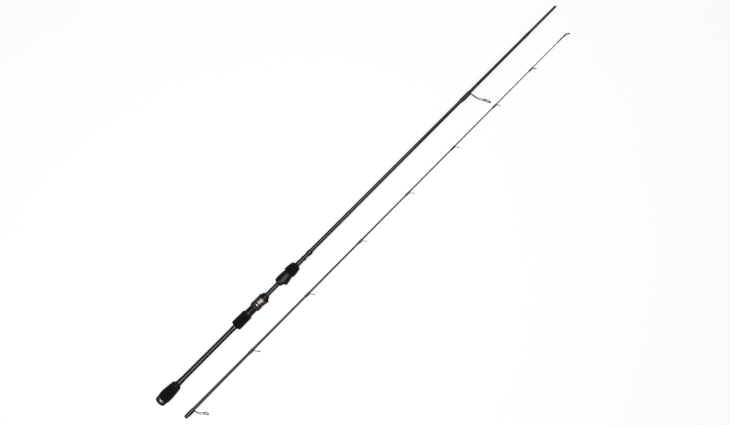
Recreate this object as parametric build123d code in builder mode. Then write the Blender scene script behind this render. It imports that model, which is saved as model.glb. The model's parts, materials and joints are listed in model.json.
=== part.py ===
from build123d import *

import math
import os

os.makedirs("parts", exist_ok=True)

# A two-piece spinning rod, taken down, with its two sections side by side. Sizes are in millimetres.
# The butt section lies along +X with the centre of its end face at the origin. The tip section lies
# beside it, towards -Y. Guides and reel foot point to -Y, and +Z is up.

# Butt cap, trim ring, butt grip
cap_radius = 11.0
cap_length = 5.0
cap_rounding = 2.6
cap_plug_length = 12.0
cap_plug_clearance = 0.1
ring_radius = 11.3
ring_length = 5.0
ring_rounding = 0.5
butt_grip_length = 35.0
butt_grip_rear_radius = 11.7
butt_grip_swell_radius = 12.65
butt_grip_swell_at = 8.0
butt_grip_front_radius = 10.1
butt_check_length = 6.0
butt_check_radius = 9.8
butt_check_rim = 1.0
check_nose_thickness = 0.9
butt_wrap_length = 12.0

# Rear grip and threaded barrel of the reel seat
rear_wrap_length = 12.0
rear_grip_start = 210.0
rear_grip_length = 33.5
rear_grip_rear_radius = 11.1
rear_grip_front_radius = 10.6
rear_grip_rounding = 2.2
barrel_radius = 8.35
barrel_wall = 1.95
barrel_length = 47.5
barrel_nose_length = 5.5
barrel_nose_thickness = 0.5
barrel_nose_arc = 7.15
thread_pitch = 2.0
thread_depth = 0.6
thread_crest = 0.5
thread_length = 42.0
keyway_width = 3.0
keyway_depth = 1.0

# Lock nut and moving hood
running_clearance = 0.10
bare_thread_length = 17.5
nut_length = 10.5
nut_wall = 0.7
nut_chamfer = 0.7
nut_flute_count = 24
nut_flute_radius = 0.75
nut_ring_length = 2.2
nut_ring_wall = 0.6
nut_ring_rounding = 0.25
nut_lip_wall = 0.7
swivel_wall = 0.75
swivel_bead_height = 0.4
swivel_bead_length = 1.0
swivel_length = 3.8
nut_to_hood_gap = 0.25
hood_collar_wall = 1.15
hood_collar_length = 2.25
band_length = 11.5
band_wall = 0.7
hood_lip_length = 3.8
hood_back_wall = 1.95
hood_foot_rear_wall = 1.45
hood_foot_front_wall = 3.65
hood_side_wall = 2.05
hood_pocket_wall = 1.0
hood_pocket_depth = 12.0
pocket_half_width = 6.5
key_width = 2.6
key_clearance = 0.2
key_setback = 1.5

# Front hood, foregrip and what is wound in front of them
seat_gap = 30.0
front_hood_length = 29.5
front_hood_nose_thickness = 0.5
front_hood_shoulder_at = 4.5
front_hood_lip_at = 10.5
front_hood_back_radius = 10.8
front_hood_side_radius = 10.8
front_hood_foot_radius = 14.0
front_hood_shoulder_foot = 8.6
front_hood_shoulder_back = 10.4
front_hood_shoulder_side = 10.0
front_hood_end_radius = 9.6
front_hood_end_foot = 10.0
front_hood_wall = 1.3
front_pocket_floor = 8.0
front_pocket_end_wall = 4.0
front_arbor_radius = 6.2
foregrip_length = 20.5
foregrip_rear_radius = 10.4
foregrip_swell_radius = 12.1
foregrip_swell_at = 3.8
foregrip_front_radius = 9.9
foregrip_check_length = 3.5
foregrip_check_rim = 0.8
foregrip_check_radius = 8.6
foregrip_wrap_length = 12.0

# Hook keeper
keeper_gap = 5.5
keeper_wire_radius = 0.45
keeper_height = 7.2
keeper_loop_length = 10.5
keeper_peak_from_foot = 2.6
keeper_foot_length = 9.0
keeper_bend_radius = 1.2
keeper_rear_foot_length = 4.5
keeper_front_wrap_length = 11.5
keeper_wrap_lead = 1.0
keeper_wrap_tail = 0.5

# Thread wraps
wrap_thickness = 0.3
collar_wrap_thickness = 0.55
wrap_edge_thickness = 0.1
wrap_edge_length = 1.5
foot_wrap_edge_length = 3.0
rear_accent_station = 493.0
rear_accent_length = 5.0
front_accent_station = 514.0
front_accent_length = 11.0

# Blank of the butt section: outer radii at named stations, and wall thickness
butt_length = 1094.5
blank_start = 5.0
blank_butt_radius = 5.3
blank_seat_radius = 4.75
blank_accent_radius = 3.82
blank_guide_radius = 3.05
blank_wall = 1.0
glue_line = 0.01
cut_past = 1.0

# Ferrule: a parallel male end, tapered at its very tip, and the female mouth that slides over it
ferrule_length = 74.5
ferrule_parallel_length = 52.0
ferrule_radius = 2.40
ferrule_end_relief = 0.20
ferrule_step = 0.22
ferrule_wall = 0.8
ferrule_clearance = 0.05
ferrule_shoulder = 2.0
mark_wrap_length = 16.0
socket_depth = 80.0
socket_wall = 0.9
socket_back_wall = 0.9

# Blank of the tip section, by stations counted from its female mouth
tip_third_guide_radius = 2.50
tip_fourth_guide_radius = 1.95
tip_sixth_guide_radius = 1.42
tip_eighth_guide_radius = 1.08
tip_end_radius = 0.78
tip_wall = 0.6
tip_hollow_length = 600.0

# How the tip section lies beside the butt section
sections_apart = 57.0
tip_setback = 11.0
tip_yaw = 0.216

# Proportions that every guide shares
foot_ramp_share = 1 / 3
foot_toe_share = 1 / 3
hoop_rounding_share = 0.3
ring_width_share = 0.62
ring_rounding_share = 0.55

# Guides: where each foot ends, how far out its ring is, how large it is
guide_1_from_end = 237.5
second_guide_station = 22.0
guide_gaps = (167.0, 157.0, 147.0, 133.0, 127.0, 116.0, 102.0)
tip_gap = 95.0

# Tip-top
tube_length = 19.0
tube_wall = 0.35
tip_ring_radius = 2.65
tip_ring_height = 3.7
tip_ring_forward = 2.6
tip_ring_lean = 32.0
tip_hoop = 0.8
tip_ring_wall = 0.55
tip_ring_rounding = 0.4
tip_brace_radius = 0.32
tip_brace_station = 10.45
tip_brace_reach = 0.79
tip_brace_spread = 0.565
tip_neck_radius = 0.45
tip_neck_setback = 1.5
tip_neck_reach = 0.45
tip_wrap_length = 8.0


def radius_at(taper, x):
    """Outer radius of a blank at x, straight between the stations of its taper."""
    for (x0, r0), (x1, r1) in zip(taper, taper[1:]):
        if x <= x1:
            return r0 + (r1 - r0) * (x - x0) / (x1 - x0)
    return taper[-1][1]


def along(taper, x0, x1):
    """Outline of a blank's surface from x0 to x1, with every station that lies between them."""
    between = [(x, r) for x, r in taper if x0 < x < x1]
    return [(x0, radius_at(taper, x0)), *between, (x1, radius_at(taper, x1))]


def section(frame, x):
    """Plane square to a section's axis at x. Its own x axis points to the guide side."""
    origin = frame.from_local_coords(Vector(x, 0, 0))
    return Plane(origin=origin, x_dir=frame.y_dir * -1, z_dir=frame.x_dir)


def turned(frame, outline):
    """Solid turned about a section's axis, from outline points of station and radius."""
    with BuildPart() as solid:
        with BuildSketch(frame):
            with BuildLine():
                Polyline(*outline, close=True)
            make_face()
        revolve(axis=Axis(frame.origin, frame.x_dir))
    return solid.part


def ovals(frame, stations):
    """Solid through oval sections: station, reach to the foot side, reach to the back, half width."""
    with BuildPart() as solid:
        for x, foot, back, side in stations:
            with BuildSketch(section(frame, x)):
                with Locations(((foot - back) / 2, 0)):
                    Ellipse((foot + back) / 2, side)
        loft(ruled=True)
    return solid.part


def core(frame, taper, x0, x1):
    """Solid of a blank's outer shape and its glue line, for cutting what fits over it."""
    surface = [(x, r + glue_line) for x, r in along(taper, x0, x1)]
    return turned(frame, [(x0, 0), *surface, (x1, 0)])


def save(piece, name):
    """Labels a piece made by a function and writes its file."""
    piece.label = name
    export_step(piece, f"parts/{name}.step")


def plain_wrap(frame, taper, name, x0, x1, thickness):
    """Thread wrap under varnish: a thin sleeve on the blank with feathered ends."""
    outline = [
        *along(taper, x0, x1),
        (x1, radius_at(taper, x1) + wrap_edge_thickness),
        (x1 - wrap_edge_length, radius_at(taper, x1) + thickness),
        (x0 + wrap_edge_length, radius_at(taper, x0) + thickness),
        (x0, radius_at(taper, x0) + wrap_edge_thickness),
    ]
    save(turned(frame, outline), name)


# Stations along the butt section that follow from the sizes above
ring_start = cap_length
butt_grip_start = ring_start + ring_length
butt_grip_swell_station = butt_grip_start + butt_grip_swell_at
butt_check_start = butt_grip_start + butt_grip_length
butt_wrap_start = butt_check_start + butt_check_length
barrel_start = rear_grip_start + rear_grip_length
barrel_front = barrel_start + barrel_length
barrel_end = barrel_front + barrel_nose_length
nut_start = barrel_start + bare_thread_length
nut_front = nut_start + nut_length
hood_start = nut_front + nut_to_hood_gap
band_start = hood_start + hood_collar_length
band_end = band_start + band_length
hood_end = band_end + hood_lip_length
front_hood_start = barrel_end + seat_gap
front_hood_end = front_hood_start + front_hood_length
foregrip_swell_station = front_hood_end + foregrip_swell_at
foregrip_end = front_hood_end + foregrip_length
foregrip_check_end = foregrip_end + foregrip_check_length
keeper_start = foregrip_check_end + foregrip_wrap_length + keeper_gap
ferrule_start = butt_length - ferrule_length
mark_start = ferrule_start - mark_wrap_length
guide_1_station = butt_length - guide_1_from_end

# Radii that follow from what they fit
barrel_bore_radius = barrel_radius - barrel_wall
slide_radius = barrel_radius + running_clearance
swivel_radius = slide_radius + swivel_wall
swivel_bead_radius = swivel_radius + swivel_bead_height
counterbore_radius = swivel_radius + running_clearance
bead_groove_radius = swivel_bead_radius + running_clearance
nut_radius = bead_groove_radius + nut_wall
nut_ring_seat_radius = counterbore_radius + nut_lip_wall
nut_ring_radius = nut_ring_seat_radius + nut_ring_wall
hood_collar_radius = slide_radius + hood_collar_wall
hood_back_radius = slide_radius + hood_back_wall
hood_side_radius = slide_radius + hood_side_wall
hood_foot_rear = slide_radius + hood_foot_rear_wall
hood_foot_front = slide_radius + hood_foot_front_wall
blank_mark_radius = ferrule_radius + ferrule_step
ferrule_end_radius = ferrule_radius - ferrule_end_relief
socket_radius = ferrule_radius + ferrule_clearance
tip_mouth_radius = socket_radius + socket_wall

butt = Plane.XY
butt_taper = [
    (blank_start, blank_butt_radius),
    (barrel_start, blank_seat_radius),
    (front_accent_station, blank_accent_radius),
    (guide_1_station, blank_guide_radius),
    (ferrule_start, blank_mark_radius),
]

# The butt section's blank, hollow from end to end
with BuildPart() as butt_blank:
    with BuildSketch(butt):
        with BuildLine():
            Polyline(
                *along(butt_taper, blank_start, ferrule_start),
                (ferrule_start + ferrule_shoulder, ferrule_radius),
                (ferrule_start + ferrule_shoulder + ferrule_parallel_length, ferrule_radius),
                (butt_length, ferrule_end_radius),
                (butt_length, ferrule_end_radius - ferrule_wall),
                (ferrule_start, ferrule_radius - ferrule_wall),
                (barrel_start, blank_seat_radius - blank_wall),
                (blank_start, blank_butt_radius - blank_wall),
                close=True,
            )
        make_face()
    revolve(axis=Axis.X)
butt_blank.part.label = "butt_blank"
export_step(butt_blank.part, "parts/butt_blank.step")

# Butt cap: a rounded disc with a plug that is glued into the blank
cap_plug_radius = blank_butt_radius - blank_wall - cap_plug_clearance
with BuildPart() as butt_cap:
    with BuildSketch(section(butt, 0)):
        Circle(cap_radius)
    extrude(amount=cap_length)
    fillet(butt_cap.faces().sort_by(Axis.X)[0].edges(), cap_rounding)
    with BuildSketch(section(butt, cap_length)):
        Circle(cap_plug_radius)
    extrude(amount=cap_plug_length)
butt_cap.part.label = "butt_cap"
export_step(butt_cap.part, "parts/butt_cap.step")

# Champagne trim ring between the cap and the butt grip
with BuildPart() as butt_ring:
    add(
        turned(
            butt,
            [
                *along(butt_taper, ring_start, butt_grip_start),
                (butt_grip_start, ring_radius),
                (ring_start, ring_radius),
            ],
        )
    )
    fillet(butt_ring.edges().filter_by(GeomType.CIRCLE).sort_by(SortBy.RADIUS)[-2:], ring_rounding)
butt_ring.part.label = "butt_ring"
export_step(butt_ring.part, "parts/butt_ring.step")

# Butt grip: foam that swells behind its middle and narrows forwards
with BuildPart() as butt_grip:
    with BuildSketch(butt):
        with BuildLine():
            Polyline(
                (butt_check_start, butt_grip_front_radius),
                *along(butt_taper, butt_grip_start, butt_check_start)[::-1],
                (butt_grip_start, butt_grip_rear_radius),
            )
            Bezier(
                (butt_grip_start, butt_grip_rear_radius),
                (butt_grip_start + butt_grip_swell_at / 3, butt_grip_swell_radius),
                (butt_grip_swell_station, butt_grip_swell_radius),
            )
            Bezier(
                (butt_grip_swell_station, butt_grip_swell_radius),
                (butt_grip_swell_station + butt_grip_swell_at, butt_grip_swell_radius),
                (butt_check_start, butt_grip_front_radius),
            )
        make_face()
    revolve(axis=Axis.X)
butt_grip.part.label = "butt_grip"
export_step(butt_grip.part, "parts/butt_grip.step")

# Tapered check that closes the butt grip onto the blank
with BuildPart() as butt_grip_check:
    add(
        turned(
            butt,
            [
                *along(butt_taper, butt_check_start, butt_wrap_start),
                (butt_wrap_start, radius_at(butt_taper, butt_wrap_start) + check_nose_thickness),
                (butt_check_start + butt_check_rim, butt_check_radius),
                (butt_check_start, butt_check_radius),
            ],
        )
    )
butt_grip_check.part.label = "butt_grip_check"
export_step(butt_grip_check.part, "parts/butt_grip_check.step")

butt_wrap_end = butt_wrap_start + butt_wrap_length
plain_wrap(butt, butt_taper, "butt_wrap", butt_wrap_start, butt_wrap_end, collar_wrap_thickness)
rear_wrap_start = rear_grip_start - rear_wrap_length
plain_wrap(butt, butt_taper, "rear_wrap", rear_wrap_start, rear_grip_start, wrap_thickness)

# Rear grip: a short foam sleeve against the barrel
with BuildPart() as rear_grip:
    add(
        turned(
            butt,
            [
                *along(butt_taper, rear_grip_start, barrel_start),
                (barrel_start, rear_grip_front_radius),
                (rear_grip_start, rear_grip_rear_radius),
            ],
        )
    )
    rims = rear_grip.edges().filter_by(GeomType.CIRCLE).sort_by(SortBy.RADIUS)[-2:]
    fillet(rims, rear_grip_rounding)
rear_grip.part.label = "rear_grip"
export_step(rear_grip.part, "parts/rear_grip.step")

# Arbor: the sleeve that fills the space between the blank and the barrel
with BuildPart() as seat_arbor:
    add(
        turned(
            butt,
            [
                *along(butt_taper, barrel_start, barrel_front),
                (barrel_front, barrel_bore_radius),
                (barrel_start, barrel_bore_radius),
            ],
        )
    )
seat_arbor.part.label = "seat_arbor"
export_step(seat_arbor.part, "parts/seat_arbor.step")

# Barrel: crests and roots at the thread's pitch, a keyway on its back, and a nose that meets the blank
thread_start = barrel_front - thread_length
crest_half = thread_crest / 2
thread_outline = []
for turn in range(int(thread_length / thread_pitch)):
    root = thread_start + turn * thread_pitch
    thread_outline += [
        (root - thread_pitch / 2 + crest_half, barrel_radius),
        (root - crest_half, barrel_radius - thread_depth),
        (root + crest_half, barrel_radius - thread_depth),
        (root + thread_pitch / 2 - crest_half, barrel_radius),
    ]
with BuildPart() as seat_barrel:
    with BuildSketch(butt):
        with BuildLine():
            Polyline(
                (barrel_end, radius_at(butt_taper, barrel_end) + barrel_nose_thickness),
                (barrel_end, radius_at(butt_taper, barrel_end)),
                (barrel_front, radius_at(butt_taper, barrel_front)),
                (barrel_front, barrel_bore_radius),
                (barrel_start, barrel_bore_radius),
                (barrel_start, barrel_radius),
                *thread_outline,
                (barrel_front, barrel_radius),
            )
            RadiusArc(
                (barrel_front, barrel_radius),
                (barrel_end, radius_at(butt_taper, barrel_end) + barrel_nose_thickness),
                barrel_nose_arc,
            )
        make_face()
    revolve(axis=Axis.X)
    with BuildSketch(section(butt, barrel_start)):
        with Locations((-barrel_radius, 0)):
            Rectangle(2 * keyway_depth, keyway_width)
    extrude(amount=barrel_length, mode=Mode.SUBTRACT)
seat_barrel.part.label = "seat_barrel"
export_step(seat_barrel.part, "parts/seat_barrel.step")

# Lock nut: fluted outside, smooth over the thread's crests, with a groove that holds the hood's swivel
swivel_start = nut_front - swivel_length
bead_end = swivel_start + swivel_bead_length
nut_ring_start = nut_front - nut_ring_length
with BuildPart() as lock_nut:
    add(
        turned(
            butt,
            [
                (nut_start, slide_radius),
                (swivel_start - nut_to_hood_gap, slide_radius),
                (swivel_start - nut_to_hood_gap, bead_groove_radius),
                (bead_end + nut_to_hood_gap, bead_groove_radius),
                (bead_end + nut_to_hood_gap, counterbore_radius),
                (nut_front, counterbore_radius),
                (nut_front, nut_ring_seat_radius),
                (nut_ring_start, nut_ring_seat_radius),
                (nut_ring_start, nut_radius),
                (nut_start + nut_chamfer, nut_radius),
                (nut_start, nut_radius - nut_chamfer),
            ],
        )
    )
    with BuildSketch(section(butt, nut_start)):
        with PolarLocations(nut_radius + nut_flute_radius / 2, nut_flute_count):
            Circle(nut_flute_radius)
    extrude(amount=nut_ring_start - nut_start - nut_chamfer, mode=Mode.SUBTRACT)
lock_nut.part.label = "lock_nut"
export_step(lock_nut.part, "parts/lock_nut.step")

# Bright ring pressed onto the front of the lock nut
with BuildPart() as nut_ring:
    with BuildSketch(section(butt, nut_ring_start)):
        Circle(nut_ring_radius)
        Circle(nut_ring_seat_radius, mode=Mode.SUBTRACT)
    extrude(amount=nut_ring_length)
    fillet(nut_ring.edges().filter_by(GeomType.CIRCLE).sort_by(SortBy.RADIUS)[-2:], nut_ring_rounding)
nut_ring.part.label = "nut_ring"
export_step(nut_ring.part, "parts/nut_ring.step")


def hood_foot(x):
    """Reach of the moving hood to the foot side, which grows evenly towards the front."""
    return hood_foot_rear + (hood_foot_front - hood_foot_rear) * (x - band_start) / (hood_end - band_start)


def hood_oval(x, inset):
    """Oval section of the moving hood at x, drawn in by inset all round."""
    return (x, hood_foot(x) - inset, hood_back_radius - inset, hood_side_radius - inset)


# Champagne band: a thin metal sleeve around the moving hood
band_form = ovals(butt, [hood_oval(band_start, 0), hood_oval(band_end, 0)])
band_seat = ovals(butt, [hood_oval(band_start, band_wall), hood_oval(band_end, band_wall)])
with BuildPart() as hood_band:
    add(band_form)
    add(band_seat, mode=Mode.SUBTRACT)
hood_band.part.label = "hood_band"
export_step(hood_band.part, "parts/hood_band.step")

# Moving hood: swivel, collar, core under the band, front lip, a pocket for the reel foot, and a key
swivel = turned(
    butt,
    [
        (swivel_start, 0),
        (swivel_start, swivel_bead_radius),
        (bead_end, swivel_bead_radius),
        (bead_end, swivel_radius),
        (hood_start, swivel_radius),
        (hood_start, hood_collar_radius),
        (band_start, hood_collar_radius),
        (band_start, 0),
    ],
)
lip_form = ovals(butt, [hood_oval(band_end, 0), hood_oval(hood_end, 0)])
pocket_form = ovals(
    butt,
    [
        (hood_end - hood_pocket_depth, barrel_radius, barrel_radius, barrel_radius),
        hood_oval(hood_end + cut_past, hood_pocket_wall),
    ],
)
with BuildPart() as hood_pocket:
    add(pocket_form)
    with BuildSketch(section(butt, hood_start)):
        with Locations((hood_foot_front, 0)):
            Rectangle(hood_foot_front, 2 * pocket_half_width)
    extrude(amount=hood_end + cut_past - hood_start, mode=Mode.INTERSECT)
with BuildPart() as moving_hood:
    add(swivel)
    add(band_seat)
    add(lip_form)
    with BuildSketch(section(butt, swivel_start)):
        Circle(slide_radius)
    extrude(amount=hood_end - swivel_start, mode=Mode.SUBTRACT)
    add(hood_pocket.part, mode=Mode.SUBTRACT)
    with BuildSketch(section(butt, swivel_start)):
        with Locations((-(slide_radius - keyway_depth / 2 + key_clearance), 0)):
            Rectangle(keyway_depth + key_clearance, key_width)
    extrude(amount=hood_end - key_setback - swivel_start)
moving_hood.part.label = "moving_hood"
export_step(moving_hood.part, "parts/moving_hood.step")

# Front hood: closed onto the blank behind, its lip on the foot side, and a pocket that opens backwards
front_hood_lip = front_hood_start + front_hood_lip_at
front_nose_radius = radius_at(butt_taper, front_hood_start) + front_hood_nose_thickness
front_hood_form = ovals(
    butt,
    [
        (front_hood_start, front_nose_radius, front_nose_radius, front_nose_radius),
        (
            front_hood_start + front_hood_shoulder_at,
            front_hood_shoulder_foot,
            front_hood_shoulder_back,
            front_hood_shoulder_side,
        ),
        (front_hood_lip, front_hood_foot_radius, front_hood_back_radius, front_hood_side_radius),
        (front_hood_end, front_hood_end_foot, front_hood_end_radius, front_hood_end_radius),
    ],
)
pocket_half_side = front_hood_side_radius - front_hood_wall
pocket_foot = front_hood_foot_radius - front_hood_wall
front_pocket_form = ovals(
    butt,
    [
        (front_hood_start, pocket_foot, pocket_half_side, pocket_half_side),
        (front_hood_lip, pocket_foot, pocket_half_side, pocket_half_side),
        (
            front_hood_end - front_pocket_end_wall,
            front_hood_end_foot - front_hood_wall,
            pocket_half_side,
            pocket_half_side,
        ),
    ],
)
with BuildPart() as front_pocket:
    add(front_pocket_form)
    with BuildSketch(section(butt, front_hood_start)):
        with Locations((front_pocket_floor + front_hood_foot_radius / 2, 0)):
            Rectangle(front_hood_foot_radius, 2 * pocket_half_width)
    extrude(amount=front_hood_length, mode=Mode.INTERSECT)
front_arbor_start = front_hood_start + front_hood_shoulder_at
with BuildPart() as front_hood:
    add(front_hood_form)
    add(core(butt, butt_taper, front_hood_start, front_hood_end), mode=Mode.SUBTRACT)
    with BuildSketch(section(butt, front_arbor_start)):
        Circle(front_arbor_radius)
    extrude(amount=front_hood_end - front_arbor_start, mode=Mode.SUBTRACT)
    add(front_pocket.part, mode=Mode.SUBTRACT)
front_hood.part.label = "front_hood"
export_step(front_hood.part, "parts/front_hood.step")

# Arbor between the front hood and the blank
with BuildPart() as front_arbor:
    add(
        turned(
            butt,
            [
                *along(butt_taper, front_arbor_start, front_hood_end),
                (front_hood_end, front_arbor_radius),
                (front_arbor_start, front_arbor_radius),
            ],
        )
    )
front_arbor.part.label = "front_arbor"
export_step(front_arbor.part, "parts/front_arbor.step")

# Foregrip: foam that swells just in front of the hood
with BuildPart() as foregrip:
    with BuildSketch(butt):
        with BuildLine():
            Polyline(
                (foregrip_end, foregrip_front_radius),
                *along(butt_taper, front_hood_end, foregrip_end)[::-1],
                (front_hood_end, foregrip_rear_radius),
            )
            Bezier(
                (front_hood_end, foregrip_rear_radius),
                (front_hood_end + foregrip_swell_at / 3, foregrip_swell_radius),
                (foregrip_swell_station, foregrip_swell_radius),
            )
            Bezier(
                (foregrip_swell_station, foregrip_swell_radius),
                (foregrip_swell_station + foregrip_swell_at, foregrip_swell_radius),
                (foregrip_end, foregrip_front_radius),
            )
        make_face()
    revolve(axis=Axis.X)
foregrip.part.label = "foregrip"
export_step(foregrip.part, "parts/foregrip.step")

# Check that closes the foregrip onto the blank
with BuildPart() as foregrip_check:
    add(
        turned(
            butt,
            [
                *along(butt_taper, foregrip_end, foregrip_check_end),
                (foregrip_check_end, radius_at(butt_taper, foregrip_check_end) + check_nose_thickness),
                (foregrip_end + foregrip_check_rim, foregrip_check_radius),
                (foregrip_end, foregrip_check_radius),
            ],
        )
    )
foregrip_check.part.label = "foregrip_check"
export_step(foregrip_check.part, "parts/foregrip_check.step")

foregrip_wrap_end = foregrip_check_end + foregrip_wrap_length
plain_wrap(butt, butt_taper, "foregrip_wrap", foregrip_check_end, foregrip_wrap_end, collar_wrap_thickness)

# Hook keeper: one bent wire whose two ends lie on the blank under thread
keeper_seat = radius_at(butt_taper, keeper_start) + keeper_wire_radius
keeper_foot_start = keeper_start + keeper_loop_length
keeper_peak = keeper_foot_start - keeper_peak_from_foot
with BuildPart() as hook_keeper:
    with BuildLine(butt) as keeper_path:
        FilletPolyline(
            (keeper_start - keeper_rear_foot_length / 2, -keeper_seat),
            (keeper_start + keeper_rear_foot_length / 2, -keeper_seat),
            (keeper_peak, -keeper_height),
            (keeper_foot_start, -keeper_seat),
            (keeper_foot_start + keeper_foot_length, -keeper_seat),
            radius=keeper_bend_radius,
        )
    with BuildSketch(Plane(origin=keeper_path.line @ 0, z_dir=keeper_path.line % 0)):
        Circle(keeper_wire_radius)
    sweep()
hook_keeper.part.label = "hook_keeper"
export_step(hook_keeper.part, "parts/hook_keeper.step")


def foot_wrap(frame, taper, name, x0, x1, foot_height, back, cover, frame_part):
    """Thread wrap over a foot on the blank: thin on the back, thicker over the foot, feathered ends."""
    foot_reach = foot_height + cover
    slope = min(foot_wrap_edge_length, (x1 - x0) / 3)
    ends = [(x, radius_at(taper, x) + wrap_edge_thickness) for x in (x0, x1)]
    stations = [
        (x0, ends[0][1], ends[0][1], ends[0][1]),
        *(
            (
                x,
                radius_at(taper, x) + foot_reach,
                radius_at(taper, x) + back,
                radius_at(taper, x) + (foot_reach + back) / 2,
            )
            for x in (x0 + slope, x1 - slope)
        ),
        (x1, ends[1][1], ends[1][1], ends[1][1]),
    ]
    winding = ovals(frame, stations)
    blank_core = core(frame, taper, x0 - cut_past, x1 + cut_past)
    with BuildPart() as thread:
        add(winding)
        add(blank_core, mode=Mode.SUBTRACT)
        add(frame_part, mode=Mode.SUBTRACT)
    save(thread.part, name)


keeper_wire_height = 2 * keeper_wire_radius
foot_wrap(
    butt,
    butt_taper,
    "keeper_rear_wrap",
    keeper_start - keeper_rear_foot_length / 2 - keeper_wrap_lead,
    keeper_start + keeper_rear_foot_length / 2 + keeper_wrap_tail,
    keeper_wire_height,
    wrap_thickness,
    wrap_thickness,
    hook_keeper.part,
)
foot_wrap(
    butt,
    butt_taper,
    "keeper_front_wrap",
    keeper_foot_start - keeper_wrap_tail,
    keeper_foot_start - keeper_wrap_tail + keeper_front_wrap_length,
    keeper_wire_height,
    wrap_thickness,
    wrap_thickness,
    hook_keeper.part,
)

rear_accent_end = rear_accent_station + rear_accent_length
plain_wrap(butt, butt_taper, "rear_accent_wrap", rear_accent_station, rear_accent_end, wrap_thickness)
front_accent_end = front_accent_station + front_accent_length
plain_wrap(butt, butt_taper, "front_accent_wrap", front_accent_station, front_accent_end, wrap_thickness)
plain_wrap(butt, butt_taper, "ferrule_mark_wrap", mark_start, ferrule_start, wrap_thickness)


def guide(frame, taper, name, station, size):
    """One guide: a frame with a foot, two legs and a hoop, a ring in the hoop, and a wrap over the foot.

    The station is where the foot ends. In size, height and forward place the ring's centre, radius is
    the hoop's outer radius, lean tips the hoop forwards, bow is how far the legs curve backwards.
    """
    foot_rear = station - size["foot"]
    seat = radius_at(taper, foot_rear)
    thick = size["thick"]
    wire = size["wire"]
    lean = math.radians(size["lean"])
    centre = Vector(station + size["forward"], -size["height"], 0)
    hoop_plane = Plane(
        origin=frame.from_local_coords(centre),
        x_dir=frame.z_dir,
        z_dir=frame.x_dir * math.cos(lean) + frame.y_dir * math.sin(lean),
    )
    hoop_bore = size["radius"] - size["hoop"]
    ring_bore = hoop_bore - size["ring"]
    hold_radius = size["radius"] - size["hoop"] / 2
    leg_foot = Vector(station - wire, -(seat + thick / 2), 0)
    with BuildPart() as frame_part:
        with BuildSketch(frame):
            with BuildLine():
                Polyline(
                    (foot_rear, -seat),
                    (station, -seat),
                    (station, -seat - thick),
                    (foot_rear + size["foot"] * foot_ramp_share, -seat - thick),
                    (foot_rear, -seat - thick * foot_toe_share),
                    close=True,
                )
            make_face()
        extrude(amount=size["foot_width"] / 2, both=True)
        with BuildSketch(hoop_plane):
            Circle(size["radius"])
            Circle(hoop_bore, mode=Mode.SUBTRACT)
        extrude(amount=size["hoop"] / 2, both=True)
        fillet(
            frame_part.edges().filter_by(GeomType.CIRCLE).sort_by(SortBy.RADIUS)[-2:],
            size["hoop"] * hoop_rounding_share,
        )
        for side in (-1, 1):
            start = leg_foot + Vector(0, 0, side * (size["foot_width"] / 2 - wire))
            reach = Vector(-math.sin(lean), math.cos(lean), 0) * (hold_radius * math.sin(size["hold"]))
            end = centre + reach + Vector(0, 0, side * hold_radius * math.cos(size["hold"]))
            middle = (start + end) * 0.5 + Vector(-size["bow"], -size["bow"] / 2, 0)
            with BuildLine() as leg_line:
                ThreePointArc(*(frame.from_local_coords(point) for point in (start, middle, end)))
            with BuildSketch(Plane(origin=leg_line.line @ 0, z_dir=leg_line.line % 0)):
                Circle(wire)
            sweep()
        with BuildSketch(hoop_plane):
            Circle(hoop_bore)
        extrude(amount=size["radius"] / 2, both=True, mode=Mode.SUBTRACT)
    save(frame_part.part, f"{name}_frame")
    with BuildPart() as ring_part:
        with BuildSketch(hoop_plane):
            Circle(hoop_bore)
            Circle(ring_bore, mode=Mode.SUBTRACT)
        extrude(amount=size["hoop"] * ring_width_share, both=True)
        fillet(
            ring_part.edges().filter_by(GeomType.CIRCLE).sort_by(SortBy.RADIUS)[:2],
            size["hoop"] * ring_rounding_share,
        )
    save(ring_part.part, f"{name}_ring")
    foot_wrap(
        frame,
        taper,
        f"{name}_wrap",
        foot_rear - size["lead"],
        station + size["tail"],
        thick,
        size["back"],
        size["cover"],
        frame_part.part,
    )


first_size = {
    "height": 36.6, "forward": 12.0, "radius": 7.75, "hoop": 1.2, "ring": 1.15, "lean": 19.5,
    "foot": 24.0, "foot_width": 3.6, "thick": 0.8, "wire": 0.7, "bow": 3.0, "hold": 0.35,
    "lead": 3.0, "tail": 1.5, "back": 0.25, "cover": 0.6,
}
second_size = {
    "height": 23.8, "forward": 12.0, "radius": 5.5, "hoop": 0.95, "ring": 0.9, "lean": 22.0,
    "foot": 19.0, "foot_width": 3.0, "thick": 0.7, "wire": 0.55, "bow": 1.6, "hold": 0.35,
    "lead": 2.5, "tail": 1.0, "back": 0.25, "cover": 0.4,
}


def small_size(height, forward, radius):
    """A small guide's sizes: only its height, forward throw and hoop radius differ along the rod."""
    return {
        "height": height, "forward": forward, "radius": radius, "hoop": 0.7, "ring": 0.6, "lean": 28.0,
        "foot": 10.5, "foot_width": 2.0, "thick": 0.45, "wire": 0.36, "bow": 0.4, "hold": 0.3,
        "lead": 2.5, "tail": 1.0, "back": 0.2, "cover": 0.25,
    }


# Guide on the butt section
guide(butt, butt_taper, "guide_1", guide_1_station, first_size)

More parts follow.
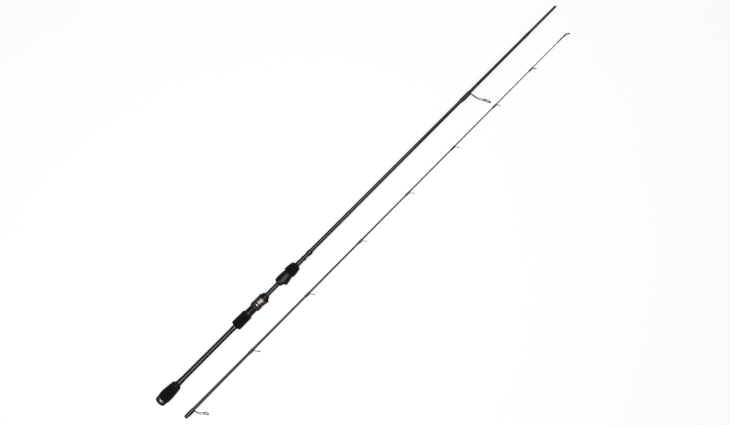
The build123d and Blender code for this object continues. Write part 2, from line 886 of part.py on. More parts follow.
# Where the tip section lies: its first hoop and its tip-top touch the floor that the butt grip touches
small_sizes = [
    small_size(11.2, 5.2, 2.9),
    small_size(9.2, 3.4, 2.5),
    small_size(8.2, 3.0, 2.5),
    small_size(7.8, 2.6, 2.4),
    small_size(6.8, 2.6, 2.4),
    small_size(5.8, 2.2, 2.2),
    small_size(5.6, 2.2, 2.2),
]
guide_stations = [second_guide_station]
for gap in guide_gaps:
    guide_stations.append(guide_stations[-1] + gap)
tube_end = guide_stations[-1] + tip_gap
tube_start = tube_end - tube_length
floor = -butt_grip_swell_radius
first_hoop_station = second_guide_station + second_size["forward"]
tip_drop = second_size["radius"] - tip_ring_radius
tip_pitch = tip_drop / (tube_end + tip_ring_forward - first_hoop_station)
tip_height = floor + second_size["radius"] + tip_pitch * first_hoop_station
tip_heading = math.radians(tip_yaw)
tip = Plane(
    origin=(tip_setback, -sections_apart, tip_height),
    x_dir=(math.cos(tip_heading), math.sin(tip_heading), -tip_pitch),
    z_dir=(tip_pitch * math.cos(tip_heading), tip_pitch * math.sin(tip_heading), 1),
)
tip_taper = [
    (0, tip_mouth_radius),
    (guide_stations[1], tip_third_guide_radius),
    (guide_stations[2], tip_fourth_guide_radius),
    (guide_stations[4], tip_sixth_guide_radius),
    (guide_stations[6], tip_eighth_guide_radius),
    (tube_start, tip_end_radius),
    (tube_end, tip_end_radius),
]

# The tip section's blank: the ferrule's bore at its mouth, then hollow for part of its length
with BuildPart() as tip_blank:
    with BuildSketch(tip):
        with BuildLine():
            Polyline(
                *along(tip_taper, 0, tube_end - tube_wall),
                (tube_end - tube_wall, 0),
                (tip_hollow_length, 0),
                (tip_hollow_length, radius_at(tip_taper, tip_hollow_length) - tip_wall),
                (socket_depth, radius_at(tip_taper, socket_depth) - socket_back_wall),
                (socket_depth, socket_radius),
                (0, socket_radius),
                close=True,
            )
        make_face()
    revolve(axis=Axis(tip.origin, tip.x_dir))
tip_blank.part.label = "tip_blank"
export_step(tip_blank.part, "parts/tip_blank.step")

# Guides on the tip section, from the ferrule to the tip
for number, (station, size) in enumerate(zip(guide_stations, [second_size, *small_sizes]), start=2):
    guide(tip, tip_taper, f"guide_{number}", station, size)

# Tip-top: a tube glued over the blank's end, a hoop in front of it, and two braces
tube_radius = tip_end_radius + tube_wall
tip_lean = math.radians(tip_ring_lean)
tip_centre = Vector(tube_end + tip_ring_forward, -tip_ring_height, 0)
tip_hoop_plane = Plane(
    origin=tip.from_local_coords(tip_centre),
    x_dir=tip.z_dir,
    z_dir=tip.x_dir * math.cos(tip_lean) + tip.y_dir * math.sin(tip_lean),
)
tip_hoop_bore = tip_ring_radius - tip_hoop
brace_lift = Vector(tube_start + tip_brace_station, -tip_brace_reach, 0)
brace_side = Vector(0, 0, tip_brace_spread)
hold_side = Vector(0, 0, tip_ring_radius - tip_hoop / 2)
neck_foot = Vector(tube_end - tip_neck_setback, -tip_neck_reach, 0)
neck_reach = tip_ring_radius - tip_hoop / 2
neck_hold = tip_centre + Vector(-math.sin(tip_lean), math.cos(tip_lean), 0) * neck_reach
tip_tube = turned(
    tip,
    [
        (tube_start, tip_end_radius),
        (tube_end - tube_wall, tip_end_radius),
        (tube_end - tube_wall, 0),
        (tube_end, 0),
        (tube_end, tube_radius),
        (tube_start, tube_radius),
    ],
)
tip_tube_bore = turned(
    tip,
    [
        (tube_start - cut_past, 0),
        (tube_start - cut_past, tip_end_radius),
        (tube_end - tube_wall, tip_end_radius),
        (tube_end - tube_wall, 0),
    ],
)
with BuildPart() as tip_top_frame:
    add(tip_tube)
    with BuildSketch(tip_hoop_plane):
        Circle(tip_ring_radius)
        Circle(tip_hoop_bore, mode=Mode.SUBTRACT)
    extrude(amount=tip_hoop / 2, both=True)
    for side in (-1, 1):
        brace_foot = brace_lift + brace_side * side
        brace_hold = tip_centre + hold_side * side
        with BuildLine() as brace_line:
            Line(tip.from_local_coords(brace_foot), tip.from_local_coords(brace_hold))
        with BuildSketch(Plane(origin=brace_line.line @ 0, z_dir=brace_line.line % 0)):
            Circle(tip_brace_radius)
        sweep()
    with BuildLine() as neck_line:
        Line(tip.from_local_coords(neck_foot), tip.from_local_coords(neck_hold))
    with BuildSketch(Plane(origin=neck_line.line @ 0, z_dir=neck_line.line % 0)):
        Circle(tip_neck_radius)
    sweep()
    with BuildSketch(tip_hoop_plane):
        Circle(tip_hoop_bore)
    extrude(amount=tip_ring_radius / 2, both=True, mode=Mode.SUBTRACT)
    add(tip_tube_bore, mode=Mode.SUBTRACT)
tip_top_frame.part.label = "tip_top_frame"
export_step(tip_top_frame.part, "parts/tip_top_frame.step")

with BuildPart() as tip_top_ring:
    with BuildSketch(tip_hoop_plane):
        Circle(tip_hoop_bore)
        Circle(tip_hoop_bore - tip_ring_wall, mode=Mode.SUBTRACT)
    extrude(amount=tip_hoop * ring_width_share, both=True)
    fillet(tip_top_ring.edges().filter_by(GeomType.CIRCLE).sort_by(SortBy.RADIUS)[:2], tip_ring_rounding)
tip_top_ring.part.label = "tip_top_ring"
export_step(tip_top_ring.part, "parts/tip_top_ring.step")

plain_wrap(tip, tip_taper, "tip_top_wrap", tube_start - tip_wrap_length, tube_start, wrap_thickness)
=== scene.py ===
import json
import math

import bpy
import numpy as np
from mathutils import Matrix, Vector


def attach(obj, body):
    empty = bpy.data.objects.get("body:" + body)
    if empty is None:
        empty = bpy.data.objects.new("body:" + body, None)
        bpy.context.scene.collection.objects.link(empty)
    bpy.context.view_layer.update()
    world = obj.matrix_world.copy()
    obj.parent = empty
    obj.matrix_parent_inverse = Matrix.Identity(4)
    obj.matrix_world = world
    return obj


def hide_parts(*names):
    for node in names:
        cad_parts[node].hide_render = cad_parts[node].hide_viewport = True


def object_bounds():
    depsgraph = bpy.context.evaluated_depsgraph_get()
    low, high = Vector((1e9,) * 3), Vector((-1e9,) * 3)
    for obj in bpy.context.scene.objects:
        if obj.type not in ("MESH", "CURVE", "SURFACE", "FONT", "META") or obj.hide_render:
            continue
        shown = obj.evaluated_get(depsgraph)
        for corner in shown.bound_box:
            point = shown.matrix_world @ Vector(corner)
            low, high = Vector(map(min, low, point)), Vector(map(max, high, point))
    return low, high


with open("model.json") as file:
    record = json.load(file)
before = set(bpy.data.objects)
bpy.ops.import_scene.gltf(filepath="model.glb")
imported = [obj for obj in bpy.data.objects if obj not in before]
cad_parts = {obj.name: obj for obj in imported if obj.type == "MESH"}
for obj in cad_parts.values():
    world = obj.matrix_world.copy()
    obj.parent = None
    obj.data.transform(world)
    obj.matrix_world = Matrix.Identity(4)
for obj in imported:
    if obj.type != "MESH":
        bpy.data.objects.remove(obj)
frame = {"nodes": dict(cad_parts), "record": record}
cad_box = [list(corner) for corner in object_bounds()]

# A two-piece spinning rod, taken down, with its two sections side by side. Lengths are in metres, written
# as millimetres times MM. Places and radii are read from the frame's own pieces.
MM = 0.001
HIDDEN = 0.1 * MM


class Section:
    """Axes of one rod section: station along it, reach towards its guides, height upwards."""

    def __init__(self, start, along):
        up = np.array((0.0, 0.0, 1.0))
        self.start = np.array(start, float)
        self.along = np.array(along, float) / np.linalg.norm(along)
        up = up - up.dot(self.along) * self.along
        self.up = up / np.linalg.norm(up)
        self.out = np.cross(self.along, self.up)

    def place(self, station, reach, height):
        """Points = start + station * along + reach * out + height * up."""
        parts = np.broadcast_arrays(station, reach, height)
        axes = (self.along, self.out, self.up)
        return self.start + sum(part[..., None] * axis for part, axis in zip(parts, axes))

    def read(self, node):
        """Station, reach and height of every vertex of a frame piece, one row for each."""
        mesh = frame["nodes"][node].data
        points = np.zeros(len(mesh.vertices) * 3, np.float32)
        mesh.vertices.foreach_get("co", points)
        offsets = points.reshape(-1, 3).astype(float) - self.start
        return offsets @ np.stack((self.along, self.out, self.up)).T

    def span(self, node):
        """First and last station of a frame piece."""
        stations = self.read(node)[:, 0]
        return stations.min(), stations.max()

    def outline(self, node):
        """Outer outline of a turned piece: its stations, and the largest radius found at each."""
        station, reach, height = self.read(node).T
        step = 0.02 * MM
        stations, order = np.unique(np.round(station / step), return_inverse=True)
        radii = np.zeros(len(stations))
        np.maximum.at(radii, order, np.hypot(reach, height))
        return stations * step, radii

    def oval(self, node, station):
        """Reach to the foot side, reach to the back, and half width of a piece at one of its stations."""
        points = self.read(node)
        there = points[np.abs(points[:, 0] - station) < 0.05 * MM]
        return there[:, 1].max(), -there[:, 1].min(), there[:, 2].max()


def blank_radius(section, node):
    """A blank's outer radius as a function of station: outline points that no later point overtops."""
    stations, radii = section.outline(node)
    kept = radii >= np.maximum.accumulate(radii[::-1])[::-1] - 1e-6 * MM
    return lambda station: np.interp(station, stations[kept], radii[kept])


socket = next(mount for mount in frame["record"]["mounts"] if mount["name"] == "ferrule_female")
socket_depth = socket["dims"]["length_mm"] * MM
socket_radius = socket["dims"]["r_mm"] * MM
tip_along = -np.array(socket["axis"])
butt = Section((0, 0, 0), (1, 0, 0))
tip = Section(np.array(socket["pos_m"]) - tip_along * socket_depth / 2, tip_along)
butt_blank = blank_radius(butt, "butt_blank")
tip_blank = blank_radius(tip, "tip_blank")


# ---- shapes ----


def smooth(value, low=0.0, high=1.0):
    """0 below low, 1 above high, and 3t^2 - 2t^3 between them."""
    t = np.clip((value - low) / (high - low), 0, 1)
    return t * t * (3 - 2 * t)


def turn_angles(count=72):
    """Even angles round a section, counted from the guide side."""
    return np.linspace(0, 2 * np.pi, count, endpoint=False)


def angles_from_foot(angles):
    """Angles counted both ways from the foot side, which is the guide side."""
    return (angles + np.pi) % (2 * np.pi) - np.pi


def eased(corners, sizes, loop=False, steps=6):
    """Line through corners, each eased by its size: it leaves one edge that far before the corner and joins
    the next as far after it, on the parabola whose control point is the corner."""
    corners = np.array(corners, float)
    sizes = np.broadcast_to(sizes, len(corners))
    t = np.linspace(0, 1, steps)[:, None]
    made = []
    for index, corner in enumerate(corners):
        if sizes[index] == 0 or (not loop and index in (0, len(corners) - 1)):
            made.append(corner[None])
            continue
        before = corners[index - 1] - corner
        after = corners[(index + 1) % len(corners)] - corner
        size = min(sizes[index], 0.45 * np.linalg.norm(before), 0.45 * np.linalg.norm(after))
        before *= size / np.linalg.norm(before)
        after *= size / np.linalg.norm(after)
        arc = corner + (1 - t) ** 2 * before + t**2 * after
        made += [(corner + 1.1 * before)[None], arc, (corner + 1.1 * after)[None]]
    return np.concatenate(made)


def evenly(line, spacing):
    """The same line, with points an even spacing apart along it."""
    run = np.concatenate(([0], np.cumsum(np.linalg.norm(np.diff(line, axis=0), axis=1))))
    places = np.linspace(0, run[-1], max(8, int(run[-1] / spacing)))
    return np.stack([np.interp(places, run, part) for part in line.T], axis=1)


def turned(section, outline, angles=None):
    """Outline of station and radius carried round a section: reach = radius cos, height = radius sin."""
    angles = turn_angles() if angles is None else angles
    station, radius = np.array(outline).T
    return section.place(station[:, None], radius[:, None] * np.cos(angles), radius[:, None] * np.sin(angles))


def hoop(centre, facing, up, outline, count=96):
    """Outline of radius and offset carried round a centre: centre + radius (cos, sin) + offset * facing."""
    side = np.cross(facing, up)
    angles = turn_angles(count)
    spokes = np.cos(angles)[:, None] * up + np.sin(angles)[:, None] * side
    radius, offset = np.array(outline).T
    return centre + radius[:, None, None] * spokes + offset[:, None, None] * facing


def strip(line, side, half_width, half_thickness, square=1.0, count=20):
    """Bar along a line: line + width * side + thickness * normal, where width and thickness follow a
    superellipse, which is round at square 1 and nearly a rectangle at a small value."""
    tangent = np.gradient(line, axis=0)
    tangent /= np.linalg.norm(tangent, axis=1)[:, None]
    across = side - (tangent @ side)[:, None] * tangent
    across /= np.linalg.norm(across, axis=1)[:, None]
    normal = np.cross(tangent, across)
    angles = turn_angles(count)
    wide = np.sign(np.cos(angles)) * np.abs(np.cos(angles)) ** square
    thick = np.sign(np.sin(angles)) * np.abs(np.sin(angles)) ** square
    width = np.broadcast_to(half_width, len(line))[:, None] * wide
    thickness = np.broadcast_to(half_thickness, len(line))[:, None] * thick
    return line[:, None] + width[..., None] * across[:, None] + thickness[..., None] * normal[:, None]


def shell_faces(points, loop):
    """Faces of a grid whose columns wrap round. Its rows wrap too in a loop, or end in fans to a middle
    point; all are turned over when the volume they enclose comes out negative."""
    rows, columns = points.shape[:2]
    row = np.arange(rows if loop else rows - 1)[:, None]
    column = np.arange(columns)[None, :]
    beyond = (column + 1) % columns
    after = (row + 1) % rows
    here, there = row * columns, after * columns
    quads = np.stack((here + column, there + column, there + beyond, here + beyond), axis=-1).reshape(-1, 4)
    vertices = points.reshape(-1, 3)
    faces = quads.tolist()
    triangles = np.concatenate((quads[:, [0, 1, 2]], quads[:, [0, 2, 3]]))
    if not loop:
        vertices = np.concatenate((vertices, [points[0].mean(0), points[-1].mean(0)]))
        rim = np.arange(columns)
        following = (rim + 1) % columns
        last = (rows - 1) * columns
        first_fan = np.stack((np.full(columns, rows * columns), rim, following), axis=1)
        last_fan = np.stack((np.full(columns, rows * columns + 1), last + following, last + rim), axis=1)
        faces += first_fan.tolist() + last_fan.tolist()
        triangles = np.concatenate((triangles, first_fan, last_fan))
    a, b, c = (vertices - vertices.mean(0))[triangles.T]
    if np.einsum("ij,ij->i", a, np.cross(b, c)).sum() < 0:
        faces = [face[::-1] for face in faces]
    return vertices, faces


def make_piece(name, section, shells, finish, body, node, sharp=50):
    """One mesh from closed shells, each a grid of points and whether its rows form a loop. It stands for a
    frame piece, rides on that piece's body, and knows each point's station in millimetres."""
    vertices, faces = [], []
    count = 0
    for points, loop in shells:
        placed, made = shell_faces(points, loop)
        vertices.append(placed)
        faces += [[corner + count for corner in face] for face in made]
        count += len(placed)
    vertices = np.concatenate(vertices)
    mesh = bpy.data.meshes.new(name)
    mesh.from_pydata(vertices.tolist(), [], faces)
    mesh.shade_smooth()
    mesh.set_sharp_from_angle(angle=math.radians(sharp))
    station = ((vertices - section.start) @ section.along) / MM
    mesh.attributes.new("station", "FLOAT", "POINT").data.foreach_set("value", station.astype(np.float32))
    mesh.materials.append(finishes[finish])
    piece = bpy.data.objects.new(name, mesh)
    bpy.context.scene.collection.objects.link(piece)
    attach(piece, body)
    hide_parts(node)
    return piece


# ---- finishes ----


class Finish:
    """A material being made: its shader with constant values, and the coordinates its patterns read."""

    def __init__(self, name, colour, roughness, **constants):
        self.material = bpy.data.materials.new(name)
        self.material.use_nodes = True
        self.material.diffuse_color = (*colour, 1)
        self.tree = self.material.node_tree
        self.shader = self.tree.nodes["Principled BSDF"]
        self.colour = colour
        self.roughness = roughness
        self.shader.inputs["Base Color"].default_value = (*colour, 1)
        self.shader.inputs["Roughness"].default_value = roughness
        for socket_name, value in constants.items():
            self.shader.inputs[socket_name.replace("_", " ")].default_value = value
        self.place = self.add("ShaderNodeTexCoord", {}).outputs["Object"]
        self.station = self.add("ShaderNodeAttribute", {}, attribute_name="station").outputs["Fac"]

    def add(self, kind, inputs, **settings):
        """A node with its settings, and each named input linked or given its value."""
        node = self.tree.nodes.new(kind)
        for setting, value in settings.items():
            setattr(node, setting, value)
        for name, value in inputs.items():
            if isinstance(value, bpy.types.NodeSocket):
                self.tree.links.new(value, node.inputs[name])
            else:
                node.inputs[name].default_value = value
        return node

    def noise(self, size, detail=3.0):
        """Cloudy noise whose patches are about that size."""
        node = self.add("ShaderNodeTexNoise", {"Vector": self.place, "Scale": 1 / size, "Detail": detail})
        return node.outputs["Fac"]

    def cells(self, size):
        """Distance to the middle of packed cells of that size."""
        return self.add("ShaderNodeTexVoronoi", {"Vector": self.place, "Scale": 1 / size}).outputs["Distance"]

    def turns(self, pitch, wander=0.0):
        """Even ridges across the section, a pitch apart in millimetres, which may wander a little."""
        vector = self.add("ShaderNodeCombineXYZ", {"X": self.station}).outputs["Vector"]
        inputs = {"Vector": vector, "Scale": 2 * math.pi / (20 * pitch), "Distortion": wander}
        return self.add("ShaderNodeTexWave", inputs).outputs["Fac"]

    def spread(self, value, low, high):
        """A pattern's 0 to 1 stretched from low to high."""
        inputs = {"Value": value, "To Min": low, "To Max": high}
        return self.add("ShaderNodeMapRange", inputs).outputs["Result"]

    def mottle(self, pattern, amount):
        """Lets a pattern darken and lighten the base colour by that share of it."""
        ends = [(*(np.array(self.colour) * share), 1) for share in (1 - amount, 1 + amount)]
        mix = self.add("ShaderNodeMix", {0: pattern}, data_type="RGBA")
        mix.inputs[6].default_value, mix.inputs[7].default_value = ends
        self.tree.links.new(mix.outputs[2], self.shader.inputs["Base Color"])

    def uneven(self, pattern, amount):
        """Lets a pattern change the roughness by that much either way."""
        value = self.spread(pattern, self.roughness - amount, self.roughness + amount)
        self.tree.links.new(value, self.shader.inputs["Roughness"])

    def relief(self, *layers):
        """Bump from layers of pattern, height in millimetres and strength, one over another."""
        normal = None
        for pattern, height, strength in layers:
            inputs = {"Height": pattern, "Distance": height * MM, "Strength": strength}
            if normal:
                inputs["Normal"] = normal
            normal = self.add("ShaderNodeBump", inputs).outputs["Normal"]
        self.tree.links.new(normal, self.shader.inputs["Normal"])


def eva_foam():
    """Dense black foam: fine open cells, a few larger pores, and a faint grey bloom."""
    foam = Finish("eva_foam", (0.0065, 0.0065, 0.007), 0.93, Specular_IOR_Level=0.18, Sheen_Weight=0.04)
    pores = foam.cells(0.42 * MM)
    foam.mottle(foam.noise(3.5 * MM, 6), 0.35)
    foam.relief((pores, 0.12, 0.7), (foam.noise(0.25 * MM, 4), 0.05, 0.5), (foam.noise(6 * MM, 2), 0.25, 0.3))
    return foam


def cap_rubber():
    """Black rubber with a satin skin and fine scuffs."""
    rubber = Finish("cap_rubber", (0.011, 0.011, 0.012), 0.62, Specular_IOR_Level=0.35)
    rubber.mottle(rubber.noise(2 * MM, 8), 0.4)
    rubber.uneven(rubber.noise(1.2 * MM, 8), 0.14)
    rubber.relief((rubber.noise(0.3 * MM, 5), 0.03, 0.5))
    return rubber


def check_rubber():
    """Dark grey moulded rubber of the tapered checks."""
    rubber = Finish("check_rubber", (0.010, 0.010, 0.011), 0.55, Specular_IOR_Level=0.45)
    rubber.mottle(rubber.noise(1.5 * MM, 6), 0.3)
    rubber.uneven(rubber.noise(0.9 * MM, 6), 0.1)
    rubber.relief((rubber.noise(0.22 * MM, 4), 0.02, 0.5))
    return rubber


def champagne_metal():
    """Anodised aluminium in pale champagne, with the fine lines of its turning."""
    metal = Finish("champagne_metal", (0.46, 0.39, 0.34), 0.4, Metallic=1.0, Anisotropic=0.5)
    metal.mottle(metal.turns(0.35, 2), 0.05)
    metal.uneven(metal.noise(1.5 * MM, 6), 0.06)
    metal.relief((metal.turns(0.12), 0.006, 0.5), (metal.noise(0.08 * MM, 3), 0.003, 0.3))
    return metal


def polished_ring():
    """The same metal, polished bright."""
    metal = Finish("polished_ring", (0.72, 0.6, 0.5), 0.33, Metallic=1.0)
    metal.uneven(metal.noise(0.8 * MM, 6), 0.05)
    metal.mottle(metal.noise(2 * MM, 4), 0.05)
    metal.relief((metal.turns(0.1), 0.002, 0.4))
    return metal


def seat_nylon():
    """Blue-black glass-filled nylon with a fine moulded grain."""
    nylon = Finish("seat_nylon", (0.0125, 0.0125, 0.0175), 0.36, Specular_IOR_Level=0.5)
    nylon.mottle(nylon.noise(1.6 * MM, 7), 0.25)
    nylon.uneven(nylon.noise(0.5 * MM, 5), 0.09)
    nylon.relief((nylon.noise(0.16 * MM, 4), 0.012, 0.6), (nylon.noise(5 * MM, 1), 0.05, 0.2))
    return nylon


def arbor_foam():
    """Rigid grey foam of the sleeves inside the seat."""
    foam = Finish("arbor_foam", (0.16, 0.15, 0.13), 0.85)
    foam.mottle(foam.cells(0.5 * MM), 0.25)
    foam.relief((foam.noise(0.3 * MM, 4), 0.08, 0.6))
    return foam


def blank_carbon():
    """Black carbon under clear gloss: the lay of the cloth tape shows as low ridges and a fine weave."""
    gloss = {"Specular_IOR_Level": 0.1, "Coat_Weight": 1.0, "Coat_IOR": 1.7, "Coat_Roughness": 0.07}
    carbon = Finish("blank_carbon", (0.0045, 0.0045, 0.005), 0.38, **gloss)
    carbon.mottle(carbon.turns(1.1, 1.5), 0.5)
    carbon.uneven(carbon.noise(2.5 * MM, 6), 0.1)
    carbon.relief((carbon.turns(3.2, 0.6), 0.03, 0.3), (carbon.noise(0.5 * MM, 3), 0.004, 0.3))
    return carbon


def wrap_varnish():
    """Black nylon thread, turn beside turn, under a thick coat of varnish."""
    gloss = {"Specular_IOR_Level": 0.2, "Coat_Weight": 1.0, "Coat_IOR": 1.72, "Coat_Roughness": 0.05}
    thread = Finish("wrap_varnish", (0.0065, 0.0065, 0.0075), 0.34, **gloss)
    thread.mottle(thread.turns(0.22, 0.3), 0.6)
    thread.uneven(thread.noise(1.2 * MM, 5), 0.08)
    thread.relief((thread.turns(0.22, 0.3), 0.03, 0.6), (thread.noise(2.5 * MM, 2), 0.05, 0.25))
    return thread


def guide_metal():
    """Dark plated steel of the guide frames, in random patches a little lighter and darker."""
    metal = Finish("guide_metal", (0.028, 0.028, 0.03), 0.35, Metallic=1.0)
    metal.mottle(metal.noise(1.4 * MM, 8), 0.3)
    metal.uneven(metal.noise(0.6 * MM, 6), 0.1)
    metal.relief((metal.noise(0.2 * MM, 4), 0.008, 0.5))
    return metal


def guide_ceramic():
    """Polished dark oxide of the ring inserts."""
    gloss = {"IOR": 1.75, "Coat_Weight": 0.4, "Coat_Roughness": 0.04}
    ceramic = Finish("guide_ceramic", (0.03, 0.03, 0.032), 0.12, **gloss)
    ceramic.mottle(ceramic.noise(0.35 * MM, 5), 0.3)
    ceramic.uneven(ceramic.noise(1.2 * MM, 4), 0.05)
    ceramic.relief((ceramic.noise(0.15 * MM, 3), 0.003, 0.4))
    return ceramic


def keeper_wire():
    """Bright stainless wire, drawn, so lightly scored."""
    steel = Finish("keeper_wire", (0.52, 0.52, 0.54), 0.24, Metallic=1.0)
    steel.mottle(steel.noise(1 * MM, 6), 0.15)
    steel.uneven(steel.noise(0.4 * MM, 5), 0.08)
    steel.relief((steel.noise(0.1 * MM, 3), 0.004, 0.5))
    return steel


finishes = {
    make.__name__: make().material
    for make in (
        eva_foam,
        cap_rubber,
        check_rubber,
        champagne_metal,
        polished_ring,
        seat_nylon,
        arbor_foam,
        blank_carbon,
        wrap_varnish,
        guide_metal,
        guide_ceramic,
        keeper_wire,
    )
}
for arbor in ("seat_arbor", "front_arbor"):
    frame["nodes"][arbor].data.materials.clear()
    frame["nodes"][arbor].data.materials.append(finishes["arbor_foam"])


# ---- blanks ----


def butt_section_blank():
    """The tapered tube from the cap to the end of the male ferrule, open at the ferrule's end."""
    first, last = butt.span("butt_blank")
    wall = 0.8 * MM
    stations = np.linspace(first, last - 0.4 * MM, 160)
    stations = np.union1d(stations, butt.outline("butt_blank")[0][:-1])
    end = butt_blank(last)
    outer = np.stack((stations, butt_blank(stations)), axis=1)
    rim = eased(
        [
            (stations[-1], butt_blank(stations[-1])),
            (last, end),
            (last, end - wall),
            (last - 30 * MM, end - wall),
        ],
        0.25 * MM,
    )
    outline = np.concatenate((outer[:-1], rim))
    tube = turned(butt, outline)
    make_piece("carbon_butt_blank", butt, [(tube, False)], "blank_carbon", "butt_section", "butt_blank")


def tip_section_blank():
    """The tapered blank from the mouth of the female ferrule, bored to its depth, to the tip-top."""
    first, last = tip.span("tip_blank")
    stations = np.linspace(first + 0.5 * MM, last, 160)
    mouth = tip_blank(first)
    rim = eased(
        [
            (socket_depth, socket_radius),
            (first, socket_radius),
            (first, mouth),
            (stations[0], tip_blank(stations[0])),
        ],
        0.3 * MM,
    )
    outer = np.stack((stations[1:], tip_blank(stations[1:])), axis=1)
    outline = np.concatenate((rim, outer))
    tube = turned(tip, outline)
    make_piece("carbon_tip_blank", tip, [(tube, False)], "blank_carbon", "tip_section", "tip_blank")


# ---- handle ----


def sleeve(name, node, corners, sizes, finish, body="butt_section"):
    """Turned piece on the butt section: eased corners of station and radius as a closed outline."""
    outline = eased(corners, sizes, loop=True)
    return make_piece(name, butt, [(turned(butt, outline, turn_angles(96)), True)], finish, body, node)


def end_cap():
    """Moulded cap: a shallow dish in its end face, a soft rim, and a flat front face."""
    first = butt.span("butt_cap")[0]
    front = butt.span("butt_ring")[0]
    radius = butt.outline("butt_cap")[1].max()
    outline = eased(
        [
            (first + 0.7 * MM, 0.5 * MM),
            (first + 0.6 * MM, radius - 4.4 * MM),
            (first, radius - 3.7 * MM),
            (first, radius),
            (front - 0.5 * MM, radius),
            (front, radius - 0.5 * MM),
            (front, radius / 2),
        ],
        [0, 0.5 * MM, 0.5 * MM, 2.6 * MM, 0.2 * MM, 0.2 * MM, 0],
    )
    cap = turned(butt, outline, turn_angles(96))
    make_piece("moulded_end_cap", butt, [(cap, False)], "cap_rubber", "butt_section", "butt_cap")


def trim_ring():
    """Champagne ring with a raised, crowned middle between two narrow shoulders."""
    first, last = butt.span("butt_ring")
    radius = butt.outline("butt_ring")[1].max()
    shoulder = radius - 0.35 * MM
    bore = butt_blank(first) - HIDDEN
    sleeve(
        "champagne_trim_ring",
        "butt_ring",
        [
            (first, bore),
            (first, shoulder),
            (first + 0.8 * MM, shoulder),
            (first + 0.8 * MM, radius),
            (last - 0.8 * MM, radius),
            (last - 0.8 * MM, shoulder),
            (last, shoulder),
            (last, bore),
        ],
        [0, 0.3 * MM, 0.05 * MM, 0.5 * MM, 0.5 * MM, 0.05 * MM, 0.3 * MM, 0],
        "champagne_metal",
    )


def foam_grip(name, node):
    """Turned foam sleeve: the frame's own swelling outline, with its two rims softened."""
    first, last = butt.span(node)
    stations, radii = butt.outline(node)
    kept = radii > butt_blank(stations) + 3 * MM
    inner_stations = np.linspace(first + 1.2 * MM, last - 1.2 * MM, 60)
    curve = np.interp(inner_stations, stations[kept], radii[kept])
    softened = np.convolve(np.pad(curve, 2, mode="edge"), np.ones(5) / 5, mode="valid")
    body = np.stack((inner_stations, softened), axis=1)
    rear_radius = np.interp(first, stations[kept], radii[kept])
    front_radius = np.interp(last, stations[kept], radii[kept])
    rear = eased([(first, butt_blank(first) - HIDDEN), (first, rear_radius), body[0]], 1.0 * MM)
    front = eased([body[-1], (last, front_radius), (last, butt_blank(last) - HIDDEN)], 1.0 * MM)
    outline = np.concatenate((rear[:-1], body, front[1:]))
    foam = turned(butt, outline, turn_angles(96))
    grip = make_piece(name, butt, [(foam, True)], "eva_foam", "butt_section", node)


def tapered_check(name, node):
    """Moulded check: a short rim against the foam, then a hollowed cone down to the blank."""
    first, last = butt.span(node)
    radius = butt.outline(node)[1].max()
    nose = butt_blank(last) + 0.7 * MM
    length = last - first
    sleeve(
        name,
        node,
        [
            (first, butt_blank(first) - HIDDEN),
            (first, radius),
            (first + 0.25 * length, radius - 0.1 * MM),
            (first + 0.6 * length, nose + 0.36 * (radius - nose)),
            (last, nose),
            (last, butt_blank(last) - HIDDEN),
        ],
        [0, 0.3 * MM, 0.6 * MM, 1.2 * MM, 0.3 * MM, 0],
        "check_rubber",
    )


# ---- reel seat ----

THREAD_PITCH = 2.0 * MM
THREAD_DEPTH = 0.6 * MM
KEYWAY_HALF_WIDTH = 1.5 * MM
KEYWAY_DEPTH = 1.0 * MM
FLUTE_COUNT = 24
FLUTE_RADIUS = 0.85 * MM
FLUTE_STAND_OFF = 0.45 * MM
BAND_WALL = 0.7 * MM
POCKET_HALF_WIDTH = 6.5 * MM
HOOD_POCKET_DEPTH = 12 * MM
HOOD_LIP_WALL = 1.15 * MM
HOOD_LIP_ROUNDING = 1.1 * MM
FRONT_POCKET_FLOOR = 8.0 * MM
FRONT_POCKET_END = 4.0 * MM
FRONT_HOOD_WALL = 1.3 * MM
MOULDED_CREASE = 40


